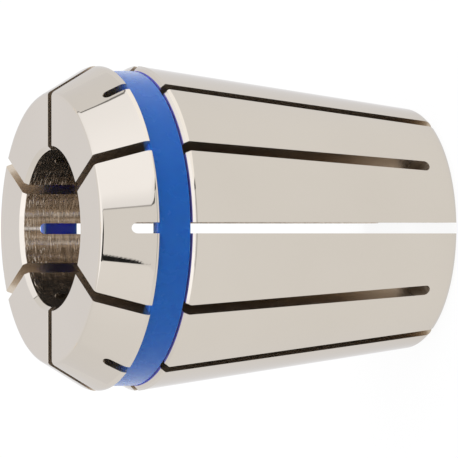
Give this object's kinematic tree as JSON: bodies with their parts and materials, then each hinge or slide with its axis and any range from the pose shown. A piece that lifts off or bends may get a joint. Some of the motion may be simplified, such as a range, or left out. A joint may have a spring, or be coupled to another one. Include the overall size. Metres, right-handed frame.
{
  "type": "er collet",
  "caption": "Slotted spring steel collet with a long rear taper, a short nose cone, a straight through bore and a coloured band in its extraction groove, for gripping a round tool shank.",
  "frame": {"origin": "centre of the small rear end face, on the bore axis", "axes": "+Z along the bore axis from the small rear end to the front face; +X through the middle of one wall segment, 15 degrees from the slots on both sides"},
  "size_m": [0.033, 0.033, 0.04],
  "materials": {
    "ground_steel": "fine ground and polished, bore ground and darker",
    "band_plastic": "smooth semi-gloss blue"
  },
  "bodies": {
    "root": {"collet_body": "ground_steel", "groove_band": "band_plastic"}
  },
  "joints": []
}
